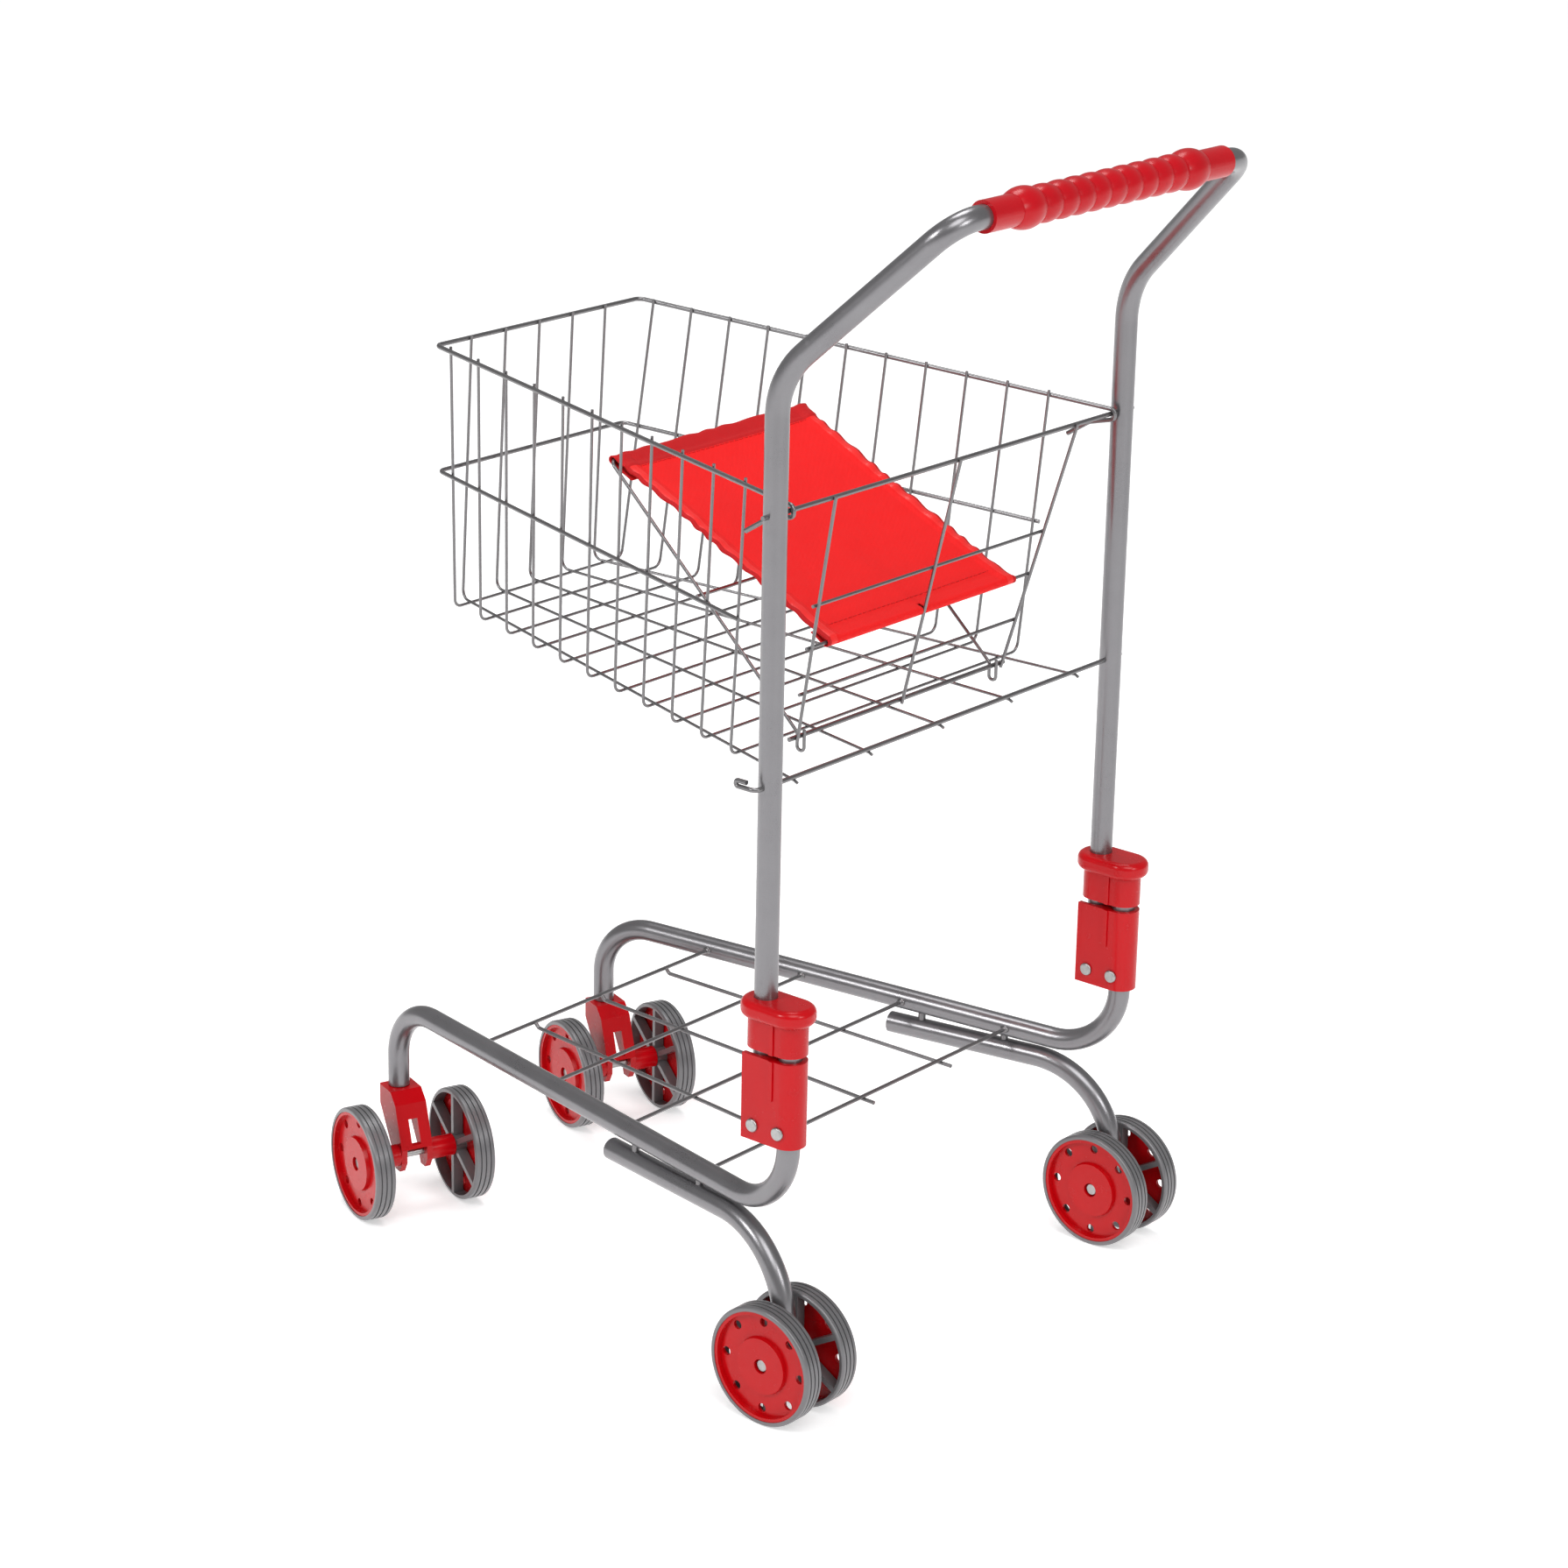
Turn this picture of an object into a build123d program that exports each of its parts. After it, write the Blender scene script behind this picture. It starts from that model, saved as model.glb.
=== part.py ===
from build123d import *
from math import atan2, cos, degrees, hypot, radians, sin
import os

# Folding toy shopping cart with a doll seat, in millimetres. +Z is up, the floor is Z = 0,
# the basket points towards -Y, the person pushing stands at +Y, and the cart's left side is +X.
# The posts stand on the X axis (Y = 0).

os.makedirs("parts", exist_ok=True)

# ---- driving dimensions -------------------------------------------------------------
tube_diameter = 10.6
tube_wall = 1.2
seat_gap = 0.02  # between faces that rest on each other
fit_clearance = 0.05  # radial clearance of every pin, rod and stem in its hole

post_half_spacing = 126.0
seam_height = 455.5
handle_bend_height = 476.5
handle_bend_radius = 38.0
grip_height = 549.0
grip_setback = 74.0
bow_half_width = 104.5
bow_corner_radius = 17.0
spigot_length = 20.0

grip_half_length = 86.5
grip_end_radius = 7.0
grip_bulge_radius = 9.2
grip_bead_radius = 8.3
grip_waist_radius = 7.1
grip_bulge_at = 59.5
grip_bulge_width = 16.0
grip_beads = 9

stub_setback = 14.5
front_half_spacing = 76.0
front_reach = 278.0
rail_rear_height = 96.0
rail_front_height = 104.5
rear_bend_radius = 33.0
front_bend_radius = 28.0

leg_start_reach = 109.0
weld_nub_places = (0.84, 0.42)  # shares of the legs' reach
leg_gap = 0.1  # between a leg and the rail above it, held by the weld nubs
leg_bend_radius = 43.0
leg_flat_thickness = 4.0
leg_flat_width = 13.0
leg_taper_length = 8.0
axle_setback = 14.4

wheel_radius = 28.5
wheel_width = 10.4
tread_round = 1.2
tread_grooves = 3
tread_groove = 0.7
rim_thickness = 2.2
hub_radius = 5.0
spokes = 6
spoke_thickness = 2.6
disc_thickness = 1.6
disc_inset = 0.4
disc_dish_radius = 14.5
disc_dish_depth = 2.6
disc_dish_wall = 0.6  # share of the disc's thickness above the dish
disc_dish_taper = 18
disc_recess = 0.9  # room round the axle's head
disc_holes = 8
disc_hole_radius = 2.15
disc_hole_inset = 3.4  # from the disc's rim to the circle of holes
axle_diameter = 4.0
axle_head_radius = 2.6
axle_head_thickness = 1.2
twin_gap = 14.6
caster_track = 54.0
caster_trail = 15.5
caster_angle = -20.5  # swivel at rest, degrees about +Z

fork_height = 59.5
fork_width = 16.8
fork_wall = 3.0
fork_front = 5.7
fork_top_rear = 8.0
fork_shoulder = 5.5
fork_tab_half_width = 5.5
fork_tab_drop = 8.0
fork_wall_bottom = 4.0
fork_slot_width = 4.8
fork_slot_height = 12.5
stem_length = 15.0
stem_seat_depth = 8.0
sleeve_radius = 5.5
side_gap = 0.4  # between a turning wheel and what stands beside it

bracket_bottom = 132.0
bracket_height = 40.5
bracket_half_width = 7.9
bracket_front = 6.6
bracket_edge_round = 0.8
socket_clearance = 0.08
rivet_height = 139.3
rivet_diameter = 4.0
rivet_head_radius = 3.1
rivet_head_thickness = 1.3
rivet_dome = 0.6  # share of the head's thickness that is rounded
guide_rib_width = 2.4
guide_rib_height = 0.7
guide_rib_sunk = 0.4  # depth of its root in the wall
guide_rib_length = 18.6  # on the bracket
guide_rib_setback = 10.0

collar_gap = 3.0
collar_height = 22.8
collar_half_width = 7.9
collar_flange_height = 8.4
collar_flange_reach = 3.3
collar_flange_round = 0.38  # share of the flange's height
collar_pocket_depth = 16.0
tongue_length = 2.7
tongue_width = 5.0
tongue_gap = 0.3  # each side of the collar's tongue
stub_gap = 0.3  # stub top to the raised collar

rim_wire = 2.2
mid_wire = 2.0
rib_wire = 1.4
gate_wire = 1.6
rod_wire = 2.2
seat_wire = 1.6
rack_wire = 1.9
rack_cross_y = (-212.0, -157.0, -100.0, -42.5)
rack_long_x = ((48.5, 60.0), (0.0, 0.0), (-48.5, -60.0))  # front and rear ends
weld = 0.12  # how deep welded wires sink into each other

basket_origin_height = 420.4  # rim line where it passes between the posts
basket_tilt = 4.28
basket_length = 253.2
basket_depth = 127.0  # at the rear; the floor falls away towards the nose
floor_fall = 2.5
basket_rear_half_width = 116.8
basket_front_half_width = 71.1
basket_floor_rear_half_width = 112.0
basket_floor_front_half_width = 59.5
basket_corner_radius = 4.5
rim_front_corner_radius = 4.0
mid_rail_drop = 62.5
mid_rail_end = 28.4
ribs = 11
first_rib = 30.7
last_rib = 243.8
rib_top_overhang = 1.6
front_wires = 5
floor_wire_spacing = 51.8
front_wire_spacing = 23.4
floor_wire_shift = 6.0  # the long wires lie a little to the left
front_wire_shift = 2.5
front_face_lean = 3.0
tail_length = 1.8
tail_bend = 2.0
rim_tail_bend = 8.0
rim_eye_gap = 0.1  # between the rim's eye and the gate rod
rim_tail = ((24.0, -13.5), (12.0, -5.9))  # reach and height of the rim's bent tail from the rod

rod_height = 417.0
rod_end_overhang = 3.0
hook_outreach = 4.5
hook_length = 11.0
hook_rise = 2.7
hook_return = 6.0
hook_bend = 3.0
full_bend = 0.96  # share of a loop's half gap that its bends take

gate_angle = 13.6  # hanging forward of vertical
gate_length = 121.5
gate_top_half_width = 88.0
gate_bottom_half_width = 75.0
gate_cross_at = (53.4, 75.0, 98.6)
gate_cross_overhang = 2.2
gate_bottom_overhang = 4.0

seat_angle = 42.2  # above horizontal
seat_length = 156.0
seat_half_width = 68.4
seat_cross_at = 80.0
seat_hook_drop = 7.0
seat_hook_end = 3.0
seat_hook_gap = 0.1
seat_hook_bend = 1.5
seat_hook_half_width = 70.8
seat_corner_radius = 4.0
sling_thickness = 1.6
sling_half_width = 66.5
sling_clearance = 0.35
sling_hem = 0.9
notch_half_width = 2.4

# ---- values worked out from them ----------------------------------------------------
tube_radius = tube_diameter / 2
tube_bore = tube_diameter - 2 * tube_wall
axle_height = wheel_radius
leg_height = rail_rear_height - tube_diameter - leg_gap
rail_slope = (post_half_spacing - front_half_spacing) / (stub_setback + front_reach)
rail_rise = (rail_front_height - rail_rear_height) / (stub_setback + front_reach)
bracket_top = bracket_bottom + bracket_height
collar_bottom = bracket_top + collar_gap
collar_top = collar_bottom + collar_height
stub_top = collar_bottom - stub_gap
stem_top = fork_height + side_gap + stem_length
disc_floor = wheel_width / 2 - disc_inset - disc_thickness - disc_dish_depth
tilt = radians(basket_tilt)
lean = radians(gate_angle)
upright_offset = weld - (rod_wire + gate_wire) / 2
cross_offset = upright_offset + gate_wire - weld


def rail_x(y):
    """Half track of the base rails at a distance along the cart."""
    return post_half_spacing + (y - stub_setback) * rail_slope


def rail_z(y):
    """Height of the rail axis at a distance along the cart."""
    return rail_rear_height + (stub_setback - y) * rail_rise


def basket_point(x, forward, up):
    """A point of the basket, which is tilted nose up, from its own reach and height."""
    y = -forward * cos(tilt) + up * sin(tilt)
    z = basket_origin_height + forward * sin(tilt) + up * cos(tilt)
    return (x, y, z)


def bar(points, diameter, bends=0, bore=0.0):
    """Adds a round bar, or a tube if it has a bore, bent along a line of points."""
    with BuildLine() as route:
        if len(points) == 2:
            Line(*points)
        else:
            FilletPolyline(*points, radius=bends)
    with BuildSketch(Plane(origin=route.line @ 0, z_dir=route.line % 0)) as section:
        Circle(diameter / 2)
        if bore:
            Circle(bore / 2, mode=Mode.SUBTRACT)
    sweep(sections=section.sketch, path=route.line)


def cross_pin(x, y, z, length, radius, mode=Mode.ADD):
    """Adds or cuts a cylinder along X, centred at a point."""
    with Locations(Location((x, y, z), (0, 90, 0))):
        Cylinder(radius, length, mode=mode)


def front_extent():
    """Distance from the posts to the foremost point of the turned caster wheels."""
    turn = abs(radians(caster_angle))
    hub = front_reach - caster_trail * cos(turn) + caster_track / 2 * sin(turn)
    tread = (wheel_radius - tread_round) * cos(turn) + tread_round
    return hub + tread + (wheel_width / 2 - tread_round) * sin(turn)


def finish(piece, label):
    """Names a piece and writes it with the cart's footprint centred on the origin."""
    shift = (front_extent() - grip_setback - grip_bulge_radius) / 2
    part = piece.part.moved(Location((0, shift, 0)))
    part.label = label
    export_step(part, f"parts/{label}.step")


sides = {"left": 1, "right": -1}


# ---- base: rails, rear legs and rack ------------------------------------------------
def make_base_rail(side, label):
    """Caster leg, rail and upright stub: one tube with two bends."""
    x_rear = side * post_half_spacing
    x_front = side * front_half_spacing
    with BuildPart() as rail:
        bar(
            [
                (x_rear, stub_setback, stub_top),
                (x_rear, stub_setback, rail_rear_height),
                (x_front, -front_reach, rail_front_height),
                (x_front, -front_reach, fork_height + side_gap),
            ],
            tube_diameter,
            [rear_bend_radius, front_bend_radius],
            tube_bore,
        )
        cross_pin(x_rear, stub_setback, rivet_height, tube_diameter * 2,
                  rivet_diameter / 2 + fit_clearance, Mode.SUBTRACT)
    finish(rail, label)


def make_rear_leg(side, label):
    """Open-ended tube under the rail that curves down and is pressed flat at the axle."""
    x_axle = side * rail_x(axle_setback)
    bend_bottom = leg_height - leg_bend_radius
    flat_top = bend_bottom - leg_taper_length
    with BuildPart() as leg:
        bar(
            [
                (side * rail_x(-leg_start_reach), -leg_start_reach, leg_height),
                (x_axle, axle_setback, leg_height),
                (x_axle, axle_setback, bend_bottom),
            ],
            tube_diameter,
            leg_bend_radius,
            tube_bore,
        )
        with BuildSketch(Plane.XY.offset(bend_bottom)):
            with Locations((x_axle, axle_setback)):
                Circle(tube_radius)
        with BuildSketch(Plane.XY.offset(flat_top - leg_flat_thickness / 2)):
            with Locations((x_axle, axle_setback)):
                Ellipse(leg_flat_thickness / 2 - 0.1, leg_flat_width / 2 - 0.1)
        loft()
        with BuildSketch(Plane.YZ.offset(x_axle - leg_flat_thickness / 2)):
            with Locations((axle_setback, axle_height)):
                Circle(leg_flat_width / 2)
            with Locations((axle_setback, (axle_height + flat_top) / 2)):
                Rectangle(leg_flat_width, flat_top - axle_height)
        extrude(amount=leg_flat_thickness)
        cross_pin(x_axle, axle_setback, axle_height, tube_diameter,
                  axle_diameter / 2 + fit_clearance, Mode.SUBTRACT)
    finish(leg, label)


def make_weld_nubs():
    """Short posts that join each rail to the leg below it."""
    with BuildPart() as nubs:
        for side in sides.values():
            for y in [-share * leg_start_reach for share in weld_nub_places]:
                low = leg_height + tube_radius - weld * 2
                high = rail_z(y) - tube_radius + weld * 2
                with BuildSketch(Plane.XY.offset(low)):
                    with Locations((side * rail_x(y), y)):
                        Circle(rack_wire)
                extrude(amount=high - low)
    finish(nubs, "weld_nubs")


def make_rack_cross_wires():
    """Wires across the base, welded to the inner sides of the rails."""
    with BuildPart() as wires:
        for y in rack_cross_y:
            reach = rail_x(y) - tube_radius + 2 * weld
            bar([(reach, y, rail_z(y)), (-reach, y, rail_z(y))], rack_wire)
    finish(wires, "rack_cross_wires")


def make_rack_long_wires():
    """Wires along the base, hung under the cross wires, their front ends bent up to the first."""
    drop = rack_wire - weld
    first, last = rack_cross_y[0], rack_cross_y[-1] + 6
    with BuildPart() as wires:
        for x_front, x_rear in rack_long_x:
            bar(
                [
                    (x_front, first + drop, rail_z(first)),
                    (x_front, first + 2 * drop, rail_z(first) - drop),
                    (x_rear, last, rail_z(last) - drop),
                ],
                rack_wire,
                drop,
            )
    finish(wires, "rack_long_wires")


# ---- hinge brackets -----------------------------------------------------------------
def make_bracket(side, label):
    """Red bracket around the stub, open at the front where the post swings out."""
    x = side * post_half_spacing
    bore = tube_radius + socket_clearance
    web_rear = stub_setback - bore
    web_front = bore
    with BuildPart() as bracket:
        with BuildSketch(Plane.XY.offset(bracket_bottom)):
            with Locations((x, stub_setback)):
                Circle(bracket_half_width)
            with Locations((x, (stub_setback - bracket_front) / 2)):
                Rectangle(2 * bracket_half_width, stub_setback + bracket_front)
        extrude(amount=bracket_height)
        with BuildSketch(Plane.XY.offset(bracket_bottom)):
            with Locations((x, stub_setback)):
                Circle(bore)
            with Locations((x, 0)):
                Circle(bore)
            with Locations((x, -bracket_front)):
                Rectangle(2 * bore, 2 * bracket_front)
        extrude(amount=bracket_height, mode=Mode.SUBTRACT)
        # the web between the tubes starts above the post's foot, which swings back under it
        foot_room = rivet_height + bore - bracket_bottom
        with Locations((x, (web_front + web_rear) / 2, bracket_bottom + foot_room / 2)):
            Box(2 * bore, stub_setback, foot_room, mode=Mode.SUBTRACT)
        with Locations((x, (web_front + web_rear) / 2, bracket_top)):
            Box(tongue_width + 2 * tongue_gap, stub_setback - 2 * web_front + 1, 2 * collar_gap + 1,
                mode=Mode.SUBTRACT)
        guide_out = bracket_half_width + (guide_rib_height - guide_rib_sunk) / 2
        with Locations(*[(x + way * guide_out, guide_rib_setback, bracket_top - guide_rib_length / 2)
                         for way in (1, -1)]):
            Box(guide_rib_height + guide_rib_sunk, guide_rib_width, guide_rib_length)
        for y in (0, stub_setback):
            cross_pin(x, y, rivet_height, 3 * bracket_half_width,
                      rivet_diameter / 2 + fit_clearance, Mode.SUBTRACT)
        vertical = bracket.edges().filter_by(Axis.Z).group_by(Axis.Y)[0]
        fillet(vertical.sort_by(Axis.X)[0], bracket_edge_round)
    finish(bracket, label)


def make_rivets(y, label):
    """One rivet through each bracket, with a domed head at both ends."""
    reach = bracket_half_width + seat_gap
    with BuildPart() as rivets:
        for side in sides.values():
            x = side * post_half_spacing
            cross_pin(x, y, rivet_height, 2 * reach, rivet_diameter / 2)
            for way in (1, -1):
                middle = x + way * (reach + rivet_head_thickness / 2)
                cross_pin(middle, y, rivet_height, rivet_head_thickness, rivet_head_radius)
        heads = rivets.edges().filter_by(GeomType.CIRCLE).filter_by(
            lambda edge: edge.radius > rivet_head_radius - 0.1
            and abs(abs(edge.center().X) - post_half_spacing) > reach + rivet_head_thickness / 2
        )
        fillet(heads, rivet_head_thickness * rivet_dome)
    finish(rivets, label)


# ---- posts, handle bow and grip ---------------------------------------------------------
def make_post(side, label):
    """Upright tube, cross-drilled for the pivot rivet and the two basket rods."""
    x = side * post_half_spacing
    with BuildPart() as post:
        with BuildSketch(Plane.XY.offset(rivet_height)):
            with Locations((x, 0)):
                Circle(tube_radius)
                Circle(tube_bore / 2, mode=Mode.SUBTRACT)
        extrude(amount=seam_height - rivet_height)
        cross_pin(x, 0, rivet_height, tube_diameter * 0.9, tube_radius)
        for height, wire in (
            (rivet_height, rivet_diameter),
            (rear_rod_height, rod_wire),
            (rod_height, rod_wire),
        ):
            cross_pin(x, 0, height, 2 * tube_diameter, wire / 2 + fit_clearance, Mode.SUBTRACT)
    finish(post, label)


def make_handle_bow():
    """Bent tube that carries the grip and plugs into both posts."""
    x = post_half_spacing
    with BuildPart() as bow:
        bar(
            [
                (x, 0, seam_height),
                (x, 0, handle_bend_height),
                (bow_half_width, grip_setback, grip_height),
                (-bow_half_width, grip_setback, grip_height),
                (-x, 0, handle_bend_height),
                (-x, 0, seam_height),
            ],
            tube_diameter,
            [handle_bend_radius, bow_corner_radius, bow_corner_radius, handle_bend_radius],
            tube_bore,
        )
        for side in sides.values():
            with BuildSketch(Plane.XY.offset(seam_height - spigot_length)):
                with Locations((side * x, 0)):
                    Circle(tube_bore / 2 - fit_clearance)
                    Circle(tube_bore / 2 - tube_wall, mode=Mode.SUBTRACT)
            extrude(amount=spigot_length)
            with BuildSketch(Plane.XY.offset(seam_height)):
                with Locations((side * x, 0)):
                    Circle(tube_radius)
                    Circle(tube_bore / 2 - tube_wall, mode=Mode.SUBTRACT)
            extrude(amount=tube_wall)
    finish(bow, "handle_bow")


def make_grip():
    """Soft red sleeve: plain ends, a bulge at each side and a row of beads between."""
    bulges = [-grip_bulge_at, grip_bulge_at]
    row = 2 * (grip_bulge_at - grip_bulge_width / 2)
    pitch = row / grip_beads
    with BuildPart() as grip:
        with BuildSketch(Plane.YZ.offset(-grip_half_length)):
            with Locations((grip_setback, grip_height)):
                Circle(grip_end_radius)
        extrude(amount=2 * grip_half_length)
        beads = [-row / 2 + pitch * (i + 0.5) for i in range(grip_beads)]
        for x, radius, width in (
            [(x, grip_bulge_radius, grip_bulge_width) for x in bulges]
            + [(x, grip_bead_radius, pitch) for x in beads]
        ):
            with BuildSketch(Plane((x, grip_setback, grip_height))):
                with BuildLine():
                    Polyline((width / 2, grip_waist_radius), (width / 2, 0), (-width / 2, 0),
                             (-width / 2, grip_waist_radius))
                    ThreePointArc((-width / 2, grip_waist_radius), (0, radius),
                                  (width / 2, grip_waist_radius))
                make_face()
            revolve(axis=Axis((0, grip_setback, grip_height), (1, 0, 0)))
        with BuildSketch(Plane.YZ.offset(-grip_half_length)):
            with Locations((grip_setback, grip_height)):
                Circle(tube_radius + fit_clearance)
        extrude(amount=2 * grip_half_length, mode=Mode.SUBTRACT)
    finish(grip, "grip")


def make_collar(side, label):
    """Red locking collar: slides on the post, caps the stub, with a rounded flange on top."""
    x = side * post_half_spacing
    bore = tube_radius + socket_clearance
    middle = (x, stub_setback / 2)
    with BuildPart() as collar:
        with BuildSketch(Plane.XY.offset(collar_top - collar_flange_height)):
            with Locations(middle):
                SlotCenterToCenter(stub_setback, 2 * (collar_half_width + collar_flange_reach), 90)
        extrude(amount=collar_flange_height)
        level = collar.edges().group_by(Axis.Z)
        fillet(level[0] + level[-1], collar_flange_height * collar_flange_round)
        with BuildSketch(Plane.XY.offset(collar_bottom)):
            with Locations(middle):
                SlotCenterToCenter(stub_setback, 2 * collar_half_width, 90)
        extrude(amount=collar_height - collar_flange_height / 2)
        guide_length = collar_height - collar_flange_height / 2
        guide_out = collar_half_width + (guide_rib_height - guide_rib_sunk) / 2
        with Locations(*[(x + way * guide_out, guide_rib_setback, collar_bottom + guide_length / 2)
                         for way in (1, -1)]):
            Box(guide_rib_height + guide_rib_sunk, guide_rib_width, guide_length)
        with BuildSketch(Plane.XY.offset(collar_bottom)):
            with Locations((x, 0)):
                Circle(bore)
        extrude(amount=collar_height, mode=Mode.SUBTRACT)
        with BuildSketch(Plane.XY.offset(collar_bottom)):
            with Locations((x, stub_setback)):
                Circle(tube_radius + socket_clearance)
        extrude(amount=collar_pocket_depth, mode=Mode.SUBTRACT)
        tongue_depth = stub_setback - 2 * (tube_radius + socket_clearance) - 2 * tongue_gap
        with Locations((x, stub_setback / 2, collar_bottom - tongue_length / 2 + 0.5)):
            Box(tongue_width, tongue_depth, tongue_length + 1)
    finish(collar, label)


# ---- basket ------------------------------------------------------------------------------
def rib_half_widths(forward):
    """Half widths of a rib at the rim and at the floor."""
    share = forward / basket_length
    top = basket_rear_half_width + (basket_front_half_width - basket_rear_half_width) * share
    low = basket_floor_rear_half_width + (
        basket_floor_front_half_width - basket_floor_rear_half_width
    ) * forward / last_rib
    return top - (rim_wire + rib_wire) / 2 + weld, low


def floor_up(forward):
    """Height of the ribs' floor line below the rim line."""
    return -basket_depth - floor_fall * forward / last_rib


def make_basket_rim():
    """Rim wire, with an eye around the gate rod at each post and a bent tail."""
    rod_radius = (rim_wire + rod_wire) / 2 + rim_eye_gap
    x = basket_rear_half_width
    front = basket_front_half_width

    def rear(side):
        (far, low), (near, high) = rim_tail
        return [
            (side * x, -far, rod_height + low),
            (side * x, -near, rod_height + high),
            (side * x, rod_radius, rod_height - rod_radius),
            (side * x, rod_radius, rod_height + rod_radius),
        ]

    start = rear(1)
    corner = basket_point(front, basket_length, 0)
    points = start + [corner, (-corner[0], corner[1], corner[2])] + rear(-1)[::-1]
    eye = rod_radius * full_bend
    corners = [rim_front_corner_radius] * 2
    bends = [rim_tail_bend, eye, eye] + corners + [eye, eye, rim_tail_bend]
    with BuildPart() as rim:
        bar(points, rim_wire, bends)
    finish(rim, "basket_rim")


def make_mid_rail():
    """Second wire round the outside of the ribs, half way down."""
    half = (rib_wire + mid_wire) / 2 - weld

    def outside(forward):
        top, low = rib_half_widths(forward)
        share = mid_rail_drop / basket_depth
        return top + (low - top) * share + half

    front = basket_length - front_face_lean / 2 + half
    points = [
        basket_point(outside(mid_rail_end), mid_rail_end, -mid_rail_drop),
        basket_point(outside(front), front, -mid_rail_drop),
        basket_point(-outside(front), front, -mid_rail_drop),
        basket_point(-outside(mid_rail_end), mid_rail_end, -mid_rail_drop),
    ]
    with BuildPart() as rail:
        bar(points, mid_wire, rim_front_corner_radius)
    finish(rail, "basket_mid_rail")


def make_basket_ribs():
    """U-shaped wires that hang from the rim and form the sides and the floor."""
    pitch = (last_rib - first_rib) / (ribs - 1)
    with BuildPart() as wires:
        for i in range(ribs):
            forward = first_rib + pitch * i
            top, low = rib_half_widths(forward)
            bar(
                [
                    basket_point(top, forward, rib_top_overhang),
                    basket_point(low, forward, floor_up(forward)),
                    basket_point(-low, forward, floor_up(forward)),
                    basket_point(-top, forward, rib_top_overhang),
                ],
                rib_wire,
                basket_corner_radius,
            )
    finish(wires, "basket_ribs")


def make_front_wires():
    """Wires down the front face and back along the floor, under the rear rod."""
    rise = rib_wire - weld
    front = basket_length - (rim_wire + rib_wire) / 2 + weld
    with BuildPart() as wires:
        for i in range(front_wires):
            place = i - (front_wires - 1) / 2
            x_front = place * front_wire_spacing + front_wire_shift
            x_rear = place * floor_wire_spacing + floor_wire_shift
            rod = basket_point(x_rear, floor_end, floor_up(floor_end) + rise)
            tail = (x_rear, rod[1] + tail_length, rod[2] - tail_length * 0.5)
            bar(
                [
                    basket_point(x_front, front, rib_top_overhang),
                    basket_point(x_front, front - front_face_lean, floor_up(front) + rise),
                    rod,
                    tail,
                ],
                rib_wire,
                [basket_corner_radius, tail_bend],
            )
    finish(wires, "basket_front_wires")


def make_rear_rod():
    """Rod across the back of the basket floor, through both posts, hooked at the ends."""
    out = post_half_spacing + tube_radius + hook_outreach
    z = rear_rod_height
    points = [
        (out, hook_return - hook_length, z + hook_rise),
        (out, -hook_length, z + hook_rise),
        (out, -hook_length, z),
        (out, 0, z),
    ]
    mirrored = [(-px, py, pz) for px, py, pz in points[::-1]]
    curl = hook_rise / 2 * full_bend
    with BuildPart() as rod:
        bar(points + mirrored, rod_wire, [curl, curl, hook_bend, hook_bend, curl, curl])
    finish(rod, "basket_rear_rod")


def make_gate_rod():
    """Straight rod that turns in both posts and in the rim's eyes, carrying the gate."""
    reach = post_half_spacing + tube_radius + rod_end_overhang
    with BuildPart() as rod:
        bar([(reach, 0, rod_height), (-reach, 0, rod_height)], rod_wire)
    finish(rod, "gate_rod")


# ---- gate and doll seat --------------------------------------------------------------------


def gate_point(x, down, forward=0.0):
    """A point of the gate from its distance down from the rod and its offset forward."""
    y = -down * sin(lean) - forward * cos(lean)
    z = rod_height - down * cos(lean) + forward * sin(lean)
    return (x, y, z)


def gate_half_width(down):
    return gate_top_half_width + (gate_bottom_half_width - gate_top_half_width) * down / gate_length


def make_gate_uprights():
    """Three wires welded to the rear of the gate rod and of the gate's bottom wire."""
    overlap = rod_wire / 2
    with BuildPart() as wires:
        for place in (1, 0, -1):
            x_top = place * gate_half_width(0)
            x_low = place * gate_half_width(gate_length)
            bar(
                [
                    gate_point(x_top, -overlap, upright_offset),
                    gate_point(x_low, gate_length + overlap, upright_offset),
                ],
                gate_wire,
            )
    finish(wires, "gate_uprights")


def make_gate_cross_wires():
    """Three wires across the gate, on the basket side of the uprights."""
    with BuildPart() as wires:
        for down in gate_cross_at:
            reach = gate_half_width(down) + gate_cross_overhang
            bar(
                [gate_point(reach, down, cross_offset), gate_point(-reach, down, cross_offset)],
                gate_wire,
            )
    finish(wires, "gate_cross_wires")


def make_gate_bottom_wire():
    """Thicker wire along the foot of the gate, which also carries the seat frame."""
    reach = gate_bottom_half_width + gate_bottom_overhang
    with BuildPart() as wire:
        bar([(reach, *seat_pivot[1:]), (-reach, *seat_pivot[1:])], rod_wire)
    finish(wire, "gate_bottom_wire")


def seat_point(x, along, up=0.0):
    """A point of the seat frame from its distance along the leg."""
    rise = radians(seat_angle)
    y = seat_pivot[1] - along * cos(rise) + up * sin(rise)
    z = seat_pivot[2] + along * sin(rise) + up * cos(rise)
    return (x, y, z)


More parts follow.
